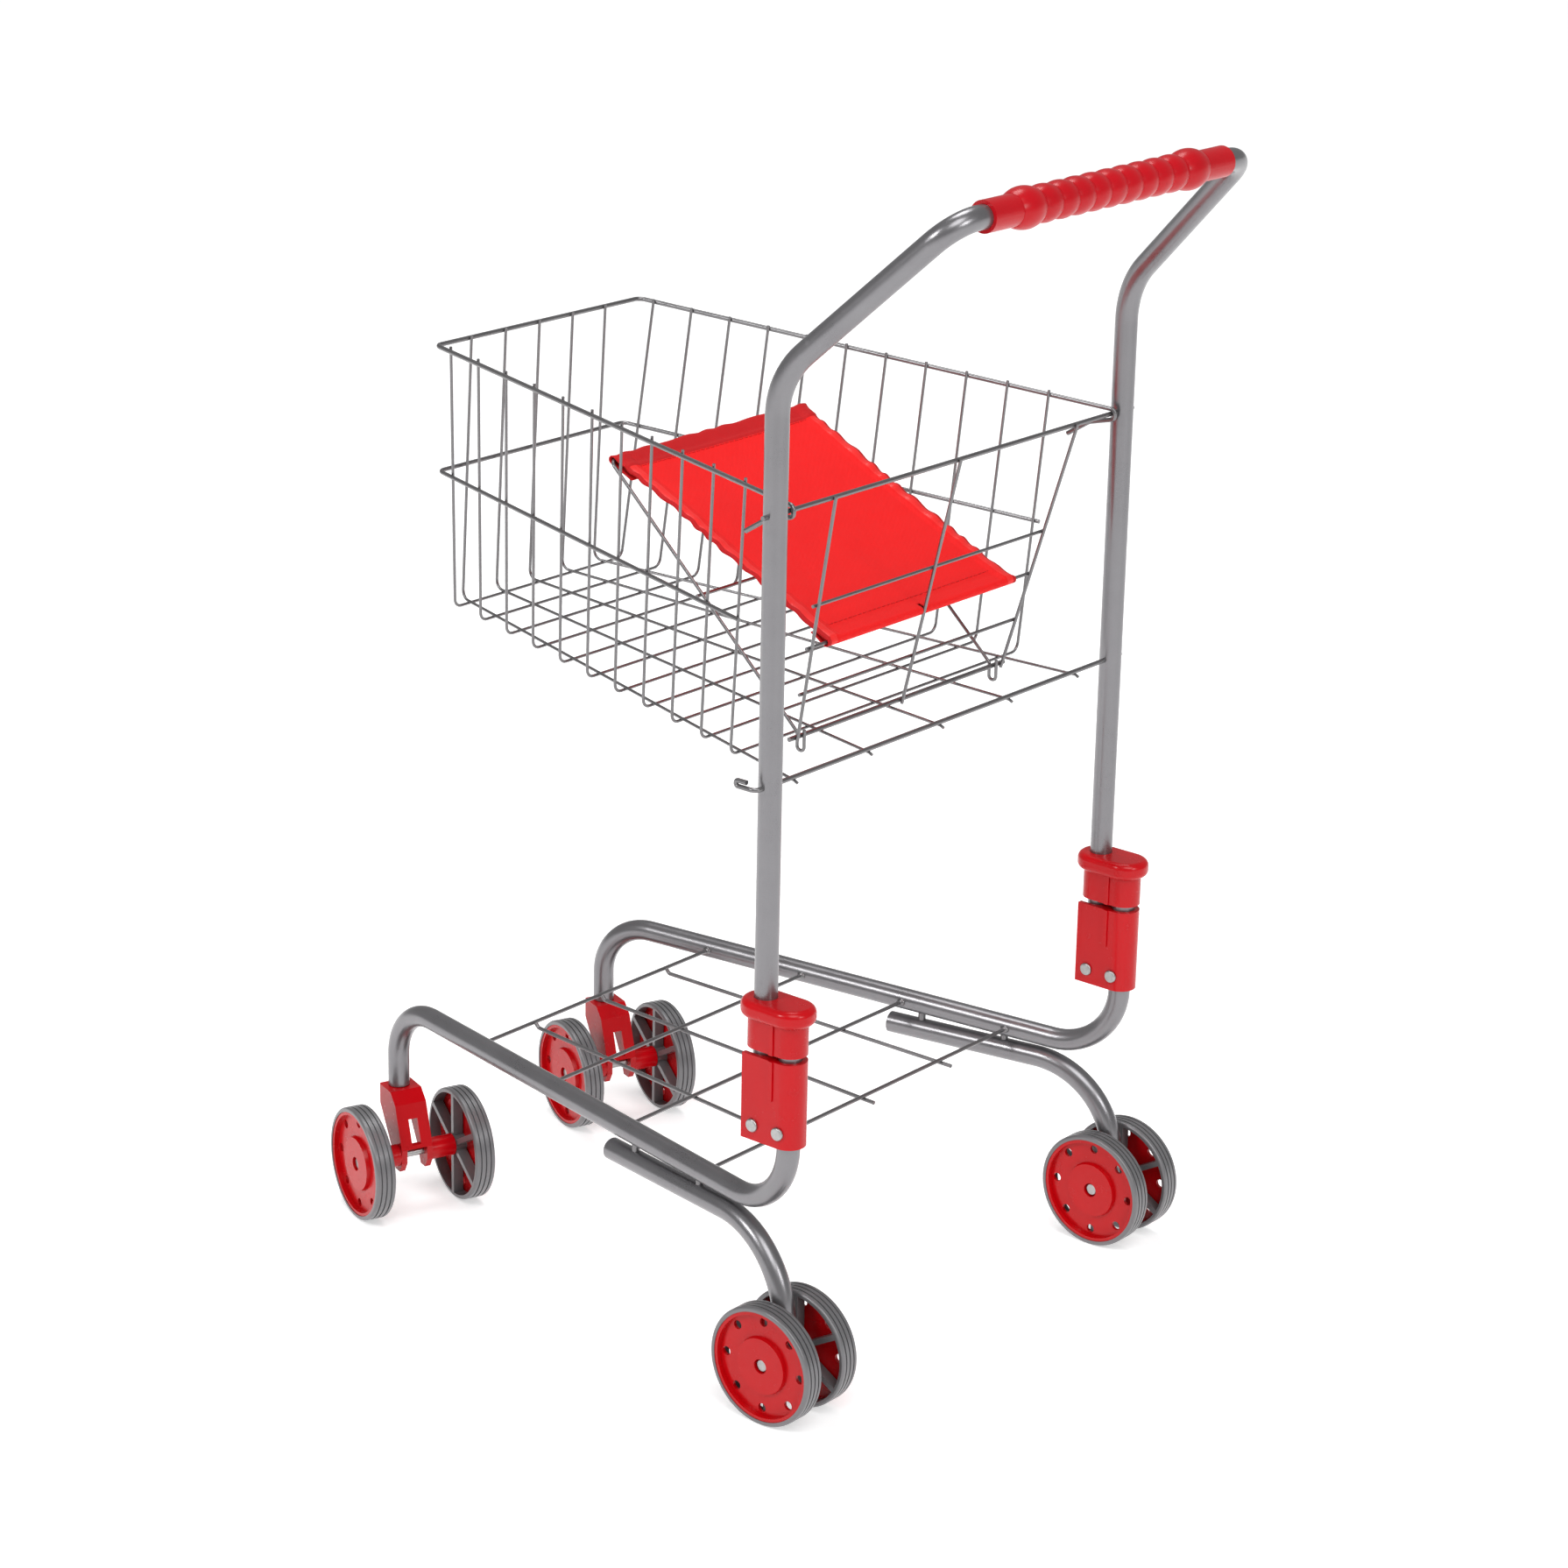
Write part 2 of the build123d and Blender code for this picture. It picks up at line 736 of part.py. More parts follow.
def make_seat_frame():
    """U-shaped wire hooked on the gate's bottom wire, carrying the sling's front hem."""
    gap = (rod_wire + seat_wire) / 2 + seat_hook_gap
    _, y, z = seat_pivot
    under = z - seat_hook_drop

    def hook(side):
        x = side * seat_hook_half_width
        return [
            (x, y + gap, z + seat_hook_end),
            (x, y + gap, under),
            (x, y - gap, under),
            (x, y - gap, z + gap / 2),
        ]

    tip = seat_point(seat_half_width + seat_wire, seat_length)
    curl = gap * full_bend
    with BuildPart() as frame:
        bar(
            hook(1) + [tip, (-tip[0], tip[1], tip[2])] + hook(-1)[::-1],
            seat_wire,
            [curl, curl, seat_hook_bend] + [seat_corner_radius] * 2 + [seat_hook_bend, curl, curl],
        )
        share = seat_cross_at / seat_length
        reach = seat_hook_half_width + (seat_half_width - seat_hook_half_width) * share
        reach += 2 * seat_wire
        drop = weld - seat_wire
        bar(
            [seat_point(reach, seat_cross_at, drop), seat_point(-reach, seat_cross_at, drop)],
            seat_wire,
        )
    finish(frame, "seat_frame")


def make_seat_sling():
    """Cloth seat: a flat sling with a hem round the gate's wire and one round the frame."""
    rear = gate_point(0, gate_cross_at[1], cross_offset)
    front = seat_point(0, seat_length)
    inner = gate_wire / 2 + sling_clearance
    outer = inner + sling_hem
    run_y, run_z = front[1] - rear[1], front[2] - rear[2]
    with BuildPart() as sling:
        middle = ((rear[1] + front[1]) / 2, (rear[2] + front[2]) / 2)
        with BuildSketch(Plane.YZ.offset(-sling_half_width)):
            with Locations((rear[1], rear[2]), (front[1], front[2])):
                Circle(outer)
            with Locations(Location((*middle, 0), degrees(atan2(run_z, run_y)))):
                Rectangle(hypot(run_y, run_z), sling_thickness)
            with Locations((rear[1], rear[2]), (front[1], front[2])):
                Circle(inner, mode=Mode.SUBTRACT)
        extrude(amount=2 * sling_half_width)
        # the rear hem is open where the middle upright of the gate is welded
        with Locations((0, rear[1] + outer, rear[2])):
            Box(2 * notch_half_width, 3 * outer, 4 * outer, mode=Mode.SUBTRACT)
    finish(sling, "seat_sling")


# ---- running gear --------------------------------------------------------------------------
def wheel_plane(x, y, turn, way):
    """Plane of a wheel's middle, with Z along its axle towards the disc side."""
    axle = Vector(way * cos(radians(turn)), way * sin(radians(turn)), 0)
    return Plane(origin=(x, y, axle_height), x_dir=(0, 0, 1), z_dir=axle)


def make_wheel(plane, label):
    """Grey wheel: grooved tread, rim, spokes and hub, open towards the disc."""
    half = wheel_width / 2
    inner = wheel_radius - rim_thickness
    groove_pitch = wheel_width / (tread_grooves + 1)
    with BuildPart(plane) as wheel:
        with BuildSketch(plane.offset(-half)):
            Circle(wheel_radius)
            Circle(inner, mode=Mode.SUBTRACT)
        extrude(amount=wheel_width)
        fillet(wheel.edges().filter_by(GeomType.CIRCLE).filter_by(
            lambda edge: edge.radius > wheel_radius - 0.1), tread_round)
        for i in range(tread_grooves):
            at = -half + groove_pitch * (i + 1)
            with BuildSketch(plane.offset(at - tread_groove / 2)):
                Circle(wheel_radius + 1)
                Circle(wheel_radius - tread_groove, mode=Mode.SUBTRACT)
            extrude(amount=tread_groove, mode=Mode.SUBTRACT)
        with BuildSketch(plane.offset(-half)):
            Circle(hub_radius)
            with PolarLocations(0, spokes):
                with Locations(((hub_radius + inner) / 2, 0)):
                    Rectangle(inner - hub_radius + 2, spoke_thickness)
        extrude(amount=half)
        with BuildSketch(plane.offset(-half)):
            Circle(hub_radius)
        extrude(amount=half + disc_floor - fit_clearance)
        with BuildSketch(plane.offset(-half)):
            Circle(axle_diameter / 2 + fit_clearance)
        extrude(amount=wheel_width, mode=Mode.SUBTRACT)
    finish(wheel, label)


def make_disc(plane, label):
    """Red disc: flat ring with holes, a raised dish and a recess round the axle's end."""
    half = wheel_width / 2
    outer = wheel_radius - rim_thickness - seat_gap
    with BuildPart(plane) as disc:
        with BuildSketch(plane.offset(disc_floor)):
            Circle(outer)
        extrude(amount=disc_thickness)
        with BuildSketch(plane.offset(disc_floor)):
            Circle(outer)
            Circle(outer - disc_thickness, mode=Mode.SUBTRACT)
        extrude(amount=disc_dish_depth + disc_thickness)
        with BuildSketch(plane.offset(disc_floor)):
            Circle(disc_dish_radius)
        extrude(amount=disc_dish_depth + disc_thickness * disc_dish_wall, taper=disc_dish_taper)
        with BuildSketch(plane.offset(disc_floor + disc_thickness / 2)):
            Circle(axle_head_radius + disc_recess)
        extrude(amount=wheel_width, mode=Mode.SUBTRACT)
        with BuildSketch(plane.offset(-half)):
            Circle(axle_diameter / 2 + fit_clearance)
            with PolarLocations(outer - disc_thickness - disc_hole_inset, disc_holes):
                Circle(disc_hole_radius)
        extrude(amount=wheel_width, mode=Mode.SUBTRACT)
    finish(disc, label)


def make_rear_axles():
    """Pin through each leg's flat end, with a head beyond each wheel's hub."""
    reach = twin_gap / 2 + wheel_width / 2 + disc_floor + disc_thickness / 2 + side_gap
    with BuildPart() as axles:
        for side in sides.values():
            x = side * rail_x(axle_setback)
            cross_pin(x, axle_setback, axle_height, 2 * reach, axle_diameter / 2)
            for way in (1, -1):
                middle = x + way * (reach + axle_head_thickness / 2)
                cross_pin(middle, axle_setback, axle_height, axle_head_thickness,
                          axle_head_radius)
    finish(axles, "rear_axles")


def caster_plane(side):
    """Plane of a caster: origin on the floor under the stem, Y trailing, turned at rest."""
    return Plane(
        origin=(side * front_half_spacing, -front_reach, 0),
        x_dir=(cos(radians(caster_angle)), sin(radians(caster_angle)), 0),
        z_dir=(0, 0, 1),
    )


def side_plane(caster, across):
    """Vertical plane at a distance across the caster, looking along its axle."""
    return Plane(origin=caster.from_local_coords((across, 0, 0)),
                 x_dir=caster.y_dir, z_dir=caster.x_dir)


def make_fork(side, label):
    """Red fork: closed top, two side plates with feet, and a rear wall with a window."""
    caster = caster_plane(side)
    half = fork_width / 2
    foot_rear = caster_trail + fork_tab_half_width
    shoulder = fork_top_rear + fork_shoulder
    seat = fork_height - stem_seat_depth
    low = axle_height - fork_tab_drop
    with BuildPart() as fork:
        with BuildSketch(side_plane(caster, -half)):
            with BuildLine():
                Polyline(
                    (-fork_front, fork_height), (fork_top_rear, fork_height),
                    (shoulder, fork_height - fork_shoulder),
                    (foot_rear, axle_height + fork_wall_bottom),
                    (foot_rear, axle_height - fork_tab_half_width / 2),
                    (foot_rear - fork_wall, low), (foot_rear - 2 * fork_tab_half_width + fork_wall, low),
                    (foot_rear - 2 * fork_tab_half_width, axle_height),
                    (-fork_front, seat), (-fork_front, fork_height),
                )
            make_face()
        extrude(amount=fork_width)
        uprights = fork.edges().filter_by(Axis.Z)
        fillet(uprights.group_by(Axis.Z)[-1], fork_wall / 2)
        with BuildSketch(side_plane(caster, -half + fork_wall)):
            with BuildLine():
                Polyline(
                    (-fork_front - 1, low - 1), (-fork_front - 1, seat - fork_wall),
                    (shoulder + 2 - fork_wall, seat - fork_wall),
                    (foot_rear - fork_wall, axle_height + fork_wall_bottom),
                    (foot_rear + 1, axle_height + fork_wall_bottom), (foot_rear + 1, low - 1),
                    (-fork_front - 1, low - 1),
                )
            make_face()
        extrude(amount=fork_width - 2 * fork_wall, mode=Mode.SUBTRACT)
        window_height = (seat - fork_wall + axle_height + fork_wall_bottom) / 2
        window = Plane(origin=caster.from_local_coords((0, fork_top_rear, window_height)),
                       x_dir=caster.x_dir, z_dir=caster.y_dir)
        with BuildSketch(window):
            Rectangle(fork_slot_width, fork_slot_height)
        extrude(amount=2 * caster_trail, mode=Mode.SUBTRACT)
        with BuildSketch(caster.offset(fork_height - stem_seat_depth)):
            Circle(tube_bore / 2 - fit_clearance)
        extrude(amount=stem_seat_depth + 1, mode=Mode.SUBTRACT)
        with BuildSketch(side_plane(caster, -half - 1)):
            with Locations((caster_trail, axle_height)):
                Circle(axle_diameter / 2 + fit_clearance)
        extrude(amount=fork_width + 2, mode=Mode.SUBTRACT)
    finish(fork, label)


def make_stem(side, label):
    """Steel pin set in the fork, turning inside the base rail's caster leg."""
    caster = caster_plane(side)
    with BuildPart() as stem:
        with BuildSketch(caster.offset(fork_height - stem_seat_depth)):
            Circle(tube_bore / 2 - fit_clearance)
        extrude(amount=stem_top - fork_height + stem_seat_depth)
    finish(stem, label)


def make_sleeves(side, label):
    """Red spacers between the fork and each wheel."""
    caster = caster_plane(side)
    reach = caster_track / 2 - wheel_width / 2 - side_gap
    with BuildPart() as sleeves:
        for start in (fork_width / 2, -reach):
            with BuildSketch(side_plane(caster, start)):
                with Locations((caster_trail, axle_height)):
                    Circle(sleeve_radius)
                    Circle(axle_diameter / 2 + fit_clearance, mode=Mode.SUBTRACT)
            extrude(amount=reach - fork_width / 2)
    finish(sleeves, label)


def make_front_axle(side, label):
    """Long pin through the fork, the sleeves and both wheels."""
    caster = caster_plane(side)
    reach = caster_track / 2 + disc_floor + disc_thickness / 2 + side_gap
    with BuildPart() as axle:
        with BuildSketch(side_plane(caster, -reach)):
            with Locations((caster_trail, axle_height)):
                Circle(axle_diameter / 2)
        extrude(amount=2 * reach)
        for start in (reach, -reach - axle_head_thickness):
            with BuildSketch(side_plane(caster, start)):
                with Locations((caster_trail, axle_height)):
                    Circle(axle_head_radius)
            extrude(amount=axle_head_thickness)
    finish(axle, label)


floor_end = -basket_depth * sin(tilt) / cos(tilt)
rod_seat = basket_point(0, floor_end, floor_up(floor_end) + rib_wire - weld)
rear_rod_height = rod_seat[2] + (rib_wire + rod_wire) / 2 - weld
seat_pivot = gate_point(0, gate_length)

for name, way in sides.items():
    make_base_rail(way, f"base_rail_{name}")
    make_rear_leg(way, f"rear_leg_{name}")
    make_bracket(way, f"bracket_{name}")
    make_post(way, f"post_{name}")
    make_collar(way, f"collar_{name}")
    make_fork(way, f"caster_fork_{name}")
    make_stem(way, f"caster_stem_{name}")
    make_sleeves(way, f"axle_sleeves_{name}")
    make_front_axle(way, f"front_axle_{name}")
    for place, out in (("outer", way), ("inner", -way)):
        offset = (twin_gap + wheel_width) / 2
        x_wheel = way * rail_x(axle_setback) + out * offset
        plane = wheel_plane(x_wheel, axle_setback, 0, out)
        make_wheel(plane, f"rear_wheel_{name}_{place}")
        make_disc(plane, f"rear_disc_{name}_{place}")
        hub = caster_plane(way).from_local_coords((out * caster_track / 2, caster_trail, 0))
        plane = wheel_plane(hub.X, hub.Y, caster_angle, out)
        make_wheel(plane, f"front_wheel_{name}_{place}")
        make_disc(plane, f"front_disc_{name}_{place}")

make_weld_nubs()
make_rack_cross_wires()
make_rack_long_wires()
make_rivets(0, "pivot_rivets")
make_rivets(stub_setback, "fixing_rivets")
make_handle_bow()
make_grip()
make_basket_rim()
make_mid_rail()
make_basket_ribs()
make_front_wires()
make_rear_rod()
make_gate_rod()
make_gate_uprights()
make_gate_cross_wires()
make_gate_bottom_wire()
make_seat_frame()
make_seat_sling()
make_rear_axles()
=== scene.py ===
from math import cos, pi, radians, sin

import bmesh
import bpy
from mathutils import Matrix, Vector, noise


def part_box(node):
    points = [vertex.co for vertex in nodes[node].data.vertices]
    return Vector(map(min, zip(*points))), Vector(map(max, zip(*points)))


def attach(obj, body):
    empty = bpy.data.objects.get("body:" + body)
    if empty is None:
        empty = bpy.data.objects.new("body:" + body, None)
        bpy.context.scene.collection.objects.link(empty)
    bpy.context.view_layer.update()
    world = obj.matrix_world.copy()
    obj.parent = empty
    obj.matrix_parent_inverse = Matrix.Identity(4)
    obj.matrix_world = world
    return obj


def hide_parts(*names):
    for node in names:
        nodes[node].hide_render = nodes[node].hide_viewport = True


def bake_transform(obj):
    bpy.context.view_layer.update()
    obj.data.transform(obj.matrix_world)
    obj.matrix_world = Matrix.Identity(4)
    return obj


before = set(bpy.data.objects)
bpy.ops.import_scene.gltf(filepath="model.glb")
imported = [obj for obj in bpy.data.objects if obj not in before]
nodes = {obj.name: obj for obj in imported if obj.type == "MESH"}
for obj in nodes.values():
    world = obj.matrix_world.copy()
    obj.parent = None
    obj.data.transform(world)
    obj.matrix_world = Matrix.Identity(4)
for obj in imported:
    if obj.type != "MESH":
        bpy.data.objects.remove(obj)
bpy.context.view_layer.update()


# ---- finishes ----------------------------------------------------------------------
class Value:
    """A socket's value, so that shader maths can be written as plain expressions."""

    def __init__(self, finish, socket):
        self.finish = finish
        self.socket = socket

    def _math(self, operation, first, second):
        return self.finish.node("ShaderNodeMath", {"operation": operation}, first, second)

    def __add__(self, other):
        return self._math("ADD", self, other)

    def __mul__(self, other):
        return self._math("MULTIPLY", self, other)

    __radd__ = __add__
    __rmul__ = __mul__


class Finish:
    """A material with one Principled shader and the nodes that vary it."""

    def __init__(self, name, **constants):
        self.material = bpy.data.materials.new(name)
        self.material.use_nodes = True
        self.tree = self.material.node_tree
        self.shader = self.tree.nodes["Principled BSDF"]
        self.place = self.node("ShaderNodeTexCoord", {}, output="Object")
        for socket, value in constants.items():
            self.shader.inputs[socket.replace("_", " ")].default_value = value

    def node(self, kind, settings, *values, output=0, **named):
        """Adds a node: settings first, then the values or links of its sockets."""
        made = self.tree.nodes.new(kind)
        for key, value in settings.items():
            setattr(made, key, value)
        wanted = list(enumerate(values)) + [(k.replace("_", " "), v) for k, v in named.items()]
        for key, value in wanted:
            if isinstance(value, Value):
                self.tree.links.new(value.socket, made.inputs[key])
            else:
                made.inputs[key].default_value = value
        return Value(self, made.outputs[output])

    def noise(self, scale, detail=2.0, roughness=0.5, where=None):
        return self.node("ShaderNodeTexNoise", {}, Vector=where or self.place, Scale=scale,
                         Detail=detail, Roughness=roughness)

    def mask(self, value, low, high):
        """Stretches a value from low..high to 0..1."""
        return self.node("ShaderNodeMapRange", {"clamp": True}, Value=value, From_Min=low,
                         From_Max=high)

    def mix(self, factor, first, second):
        made = self.tree.nodes.new("ShaderNodeMix")
        made.data_type = "RGBA"
        for key, value in ((0, factor), (6, first), (7, second)):
            if isinstance(value, Value):
                self.tree.links.new(value.socket, made.inputs[key])
            else:
                made.inputs[key].default_value = value
        return Value(self, made.outputs[2])

    def drive(self, socket, value):
        self.tree.links.new(value.socket, self.shader.inputs[socket])

    def bump(self, height, strength, distance):
        self.drive("Normal", self.node("ShaderNodeBump", {}, Strength=strength,
                                       Distance=distance, Height=height))


def coated_steel(name, light, dark, rough, metal=0.55):
    """Grey lacquer over steel: fine flake, faint drawing lines and soft wear."""
    finish = Finish(name, Metallic=metal, Coat_Weight=0.2, Coat_Roughness=0.2)
    flake = finish.noise(2600.0, 1.0)
    cloud = finish.noise(38.0, 3.0, 0.6)
    scuffs = finish.mask(finish.noise(210.0, 4.0, 0.7), 0.62, 0.74)
    finish.drive("Base Color", finish.mix(cloud * 0.7 + flake * 0.3, dark, light))
    finish.drive("Roughness", cloud * 0.1 + flake * 0.08 + scuffs * 0.12 + (rough - 0.09))
    finish.bump(flake * 0.6 + cloud * 0.4, 0.12, 0.0002)
    return finish.material


def moulded(name, light, dark, rough, coat=0.2, grain=0.1):
    """Moulded plastic: a slight colour drift, flow marks and a fine skin."""
    finish = Finish(name, Coat_Weight=coat, Coat_Roughness=0.16, Specular_IOR_Level=0.22)
    drift = finish.noise(30.0, 2.0)
    skin = finish.noise(1500.0, 2.0, 0.6)
    marks = finish.mask(finish.noise(160.0, 4.0, 0.65), 0.6, 0.75)
    finish.drive("Base Color", finish.mix(drift * 0.75 + marks * 0.25, light, dark))
    finish.drive("Roughness", drift * 0.08 + marks * 0.1 + (rough - 0.06))
    finish.bump(skin + drift * 0.5, grain, 0.0002)
    return finish.material


def bright_steel():
    finish = Finish("zinc_plated_pin", Metallic=1.0)
    streak = finish.noise(900.0, 3.0, 0.6)
    finish.drive("Base Color", finish.mix(streak, (0.5, 0.5, 0.49, 1), (0.3, 0.3, 0.3, 1)))
    finish.drive("Roughness", streak * 0.2 + 0.24)
    finish.bump(streak, 0.15, 0.0001)
    return finish.material


def woven_cloth(name, light, dark, threads=1300.0, coat=0.0):
    """Plain woven cloth on its own UV map, which is in metres along the weave."""
    finish = Finish(name, Sheen_Weight=0.12, Sheen_Roughness=0.4,
                    Sheen_Tint=(1.0, 0.25, 0.22, 1), Specular_IOR_Level=0.25)
    if coat:
        finish.shader.inputs["Coat Weight"].default_value = coat
        finish.shader.inputs["Coat Roughness"].default_value = 0.3
    uv = finish.node("ShaderNodeUVMap", {"uv_map": "weave"})
    across = finish.node("ShaderNodeSeparateXYZ", {}, Vector=uv)
    along = Value(finish, across.socket.node.outputs["Y"])
    turns = threads * 2 * pi
    warp = finish.node("ShaderNodeMath", {"operation": "SINE"}, across * turns)
    weft = finish.node("ShaderNodeMath", {"operation": "SINE"}, along * turns)
    weave = warp * weft * 0.5 + 0.5
    drift = finish.noise(26.0, 3.0, 0.55, uv)
    slub = finish.noise(420.0, 2.0, 0.6, uv)
    finish.drive("Base Color", finish.mix(weave * 0.25 + drift * 0.45 + slub * 0.3, dark, light))
    finish.drive("Roughness", slub * 0.12 + 0.62)
    finish.bump(weave + slub * 0.6, 0.35, 0.0003)
    return finish.material


tube_paint = coated_steel("grey_lacquered_tube", (0.27, 0.265, 0.275, 1),
                          (0.18, 0.175, 0.185, 1), 0.3, 0.8)
wire_paint = coated_steel("grey_lacquered_wire", (0.24, 0.235, 0.24, 1),
                          (0.15, 0.145, 0.15, 1), 0.3, 0.8)
red_moulding = moulded("red_moulded_plastic", (0.54, 0.001, 0.005, 1),
                       (0.4, 0.001, 0.004, 1), 0.27, 0.12)
disc_red = moulded("red_wheel_disc", (0.54, 0.001, 0.004, 1), (0.38, 0.001, 0.003, 1),
                   0.28, 0.12)
wheel_grey = coated_steel("silver_grey_wheel_plastic", (0.2, 0.197, 0.204, 1),
                          (0.13, 0.127, 0.134, 1), 0.36, 0.35)
grip_red = moulded("red_soft_grip", (0.54, 0.002, 0.009, 1), (0.36, 0.001, 0.005, 1),
                   0.33, 0.12, 0.2)
pin_steel = bright_steel()
seat_red = woven_cloth("red_seat_cloth", (0.88, 0.005, 0.005, 1), (0.7, 0.003, 0.004, 1))
# the hem cloth is the seat cloth darkened: painted shade on the front hem's turn round its bar
# and along the side edges
hem_red_painted_shade = woven_cloth("red_hem_painted_shade", (0.58, 0.004, 0.007, 1), (0.4, 0.002, 0.004, 1))
# the side bands' lighter colour is a painted sheen; their coat is real gloss
tape_red_painted_sheen = woven_cloth("red_hem_tape_painted_sheen", (0.93, 0.02, 0.018, 1), (0.72, 0.006, 0.006, 1),
                       2000.0, 0.35)
thread_red = woven_cloth("red_thread", (0.76, 0.016, 0.016, 1), (0.55, 0.006, 0.007, 1), 2600.0)


def finish_of(name):
    if name == "grip":
        return grip_red
    if name.startswith(("bracket", "collar", "caster_fork", "axle_sleeves")):
        return red_moulding
    if "_disc_" in name:
        return disc_red
    if "_wheel_" in name:
        return wheel_grey
    if "rivet" in name or "axle" in name or "stem" in name:
        return pin_steel
    if name.startswith(("base_rail", "rear_leg", "post", "handle_bow")):
        return tube_paint
    return wire_paint


for name, piece in nodes.items():
    for place in piece.material_slots:
        place.material = finish_of(name)


# ---- making new pieces ----------------------------------------------------------------
def piece_from(shape, name, material, body):
    """Turns a bmesh into a smooth finished object that rides a body."""
    mesh = bpy.data.meshes.new(name)
    shape.to_mesh(mesh)
    shape.free()
    mesh.materials.append(material)
    for face in mesh.polygons:
        face.use_smooth = True
    piece = bpy.data.objects.new(name, mesh)
    bpy.context.scene.collection.objects.link(piece)
    if body:
        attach(piece, body)
    return piece


# ---- weld beads -------------------------------------------------------------------------
bead_radius = 0.0021
bead_ripple = 0.00035
bead_ripples_per_metre = 900
bead_shape = (0.8, 1.2, 0.9)
wire_row_step = 0.01  # the cross wires are further apart than two of these
wire_end_depth = 0.0015


def weld_beads():
    """Small flattened beads where the rack's cross wires meet the rails."""
    shape = bmesh.new()
    for end in rack_wire_ends():
        bead = bmesh.ops.create_icosphere(shape, subdivisions=2, radius=bead_radius)
        bmesh.ops.scale(shape, verts=bead["verts"], vec=bead_shape)
        bmesh.ops.translate(shape, verts=bead["verts"], vec=end)
        for vert in bead["verts"]:
            ripple = noise.noise(vert.co * bead_ripples_per_metre)
            vert.co += (vert.co - end).normalized() * bead_ripple * ripple
    return piece_from(shape, "rack_weld_beads", wire_paint, "base")


def rows_of_wire(mesh):
    """The vertices of each cross wire, parted by the gaps between the wires."""
    rows = {}
    for vert in mesh.vertices:
        rows.setdefault(round(vert.co.y / wire_row_step), []).append(vert.co.copy())
    merged = []
    for key in sorted(rows):
        if merged and key - merged[-1][0] <= 1:
            merged[-1][1].extend(rows[key])
        else:
            merged.append((key, list(rows[key])))
    return [row for _, row in merged]


def rack_wire_ends():
    """Both ends of each cross wire, found from the wires' own vertices."""
    ends = []
    for row in rows_of_wire(nodes["rack_cross_wires"].data):
        for pick in (min, max):
            edge = pick(v.x for v in row)
            near = [v for v in row if abs(v.x - edge) < wire_end_depth]
            ends.append(sum(near, Vector()) / len(near))
    return ends


weld_beads()


# ---- doll seat cloth ---------------------------------------------------------------------
hem_radius = 0.0017  # from a bar's axis to the cloth round it
cloth_thickness = 0.0006
cloth_half_width = 0.0688
rear_turn_in = 0.009
front_turn_in = 0.014
panel_drop = 0.0009  # how much nearer the bars' plane the cloth lies away from the bars
front_turn_in_drop = 0.0002
ease_length = 0.006  # over which the cloth gets there
cross_wire_at = 1  # the gate's second cross wire, counted from the top
cross_wire_gap = 0.004  # more than a wire is thick
level_slack = 0.0002
seat_wire_radius = 0.0008
front_band = 0.0085  # the front hem's seam, back from the bar
rear_seam = 0.0085  # the rear hem's stitches, forward of the bar
side_band = 0.0065  # the side hems' width
shaded_edge_share = 0.97  # of the half width, past which the side edges get the darker cloth as painted shade
panel_sag = 0.0034
panel_drag = 0.0008
panel_ripple = 0.0003
panel_waist = 0.0012  # drawn in at each side by the pull between the bars
piping_from = 0.86  # of the half width
pucker_pitch = 0.0105
pucker_draw = 0.0011
pucker_lift = 0.0009
left_pucker = 0.4  # the left side is pulled straighter
piping_height = 0.0011
seam_half_width = 0.0012
front_band_lift = 0.0004
side_seam_depth = 0.0003
scallop_depth = 0.0004
scallop_reach = 0.004  # how far back from the front bar the scallops show
notch_half_width = 0.0012
notch_length = hem_radius * 1.6
grid_across, grid_along = 130, 200
stitch_pitch, stitch_length, stitch_radius = 0.0034, 0.0024, 0.00022
stitch_rise = 0.0001
stitched_share = 0.9  # of the cloth's width


def bar_axis(name, low, high):
    """Middle of a straight bar along X, from a node's vertices between two heights."""
    picked = [v.co for v in nodes[name].data.vertices if low <= v.co.z <= high]
    y = (min(v.y for v in picked) + max(v.y for v in picked)) / 2
    z = (min(v.z for v in picked) + max(v.z for v in picked)) / 2
    return y, z


def seat_bars():
    """Axes of the wire that holds the cloth's rear hem and of the frame's front bar."""
    levels = sorted({round(v.co.z, 4) for v in nodes["gate_cross_wires"].data.vertices})
    groups = [[levels[0]]]
    for level in levels[1:]:
        if level - groups[-1][-1] > cross_wire_gap:
            groups.append([level])
        else:
            groups[-1].append(level)
    middle = groups[-1 - cross_wire_at]
    rear = bar_axis("gate_cross_wires", middle[0] - level_slack, middle[-1] + level_slack)
    low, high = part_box("seat_frame")
    front = (low[1] + seat_wire_radius, high[2] - seat_wire_radius)
    return Vector((0, *rear)), Vector((0, *front))


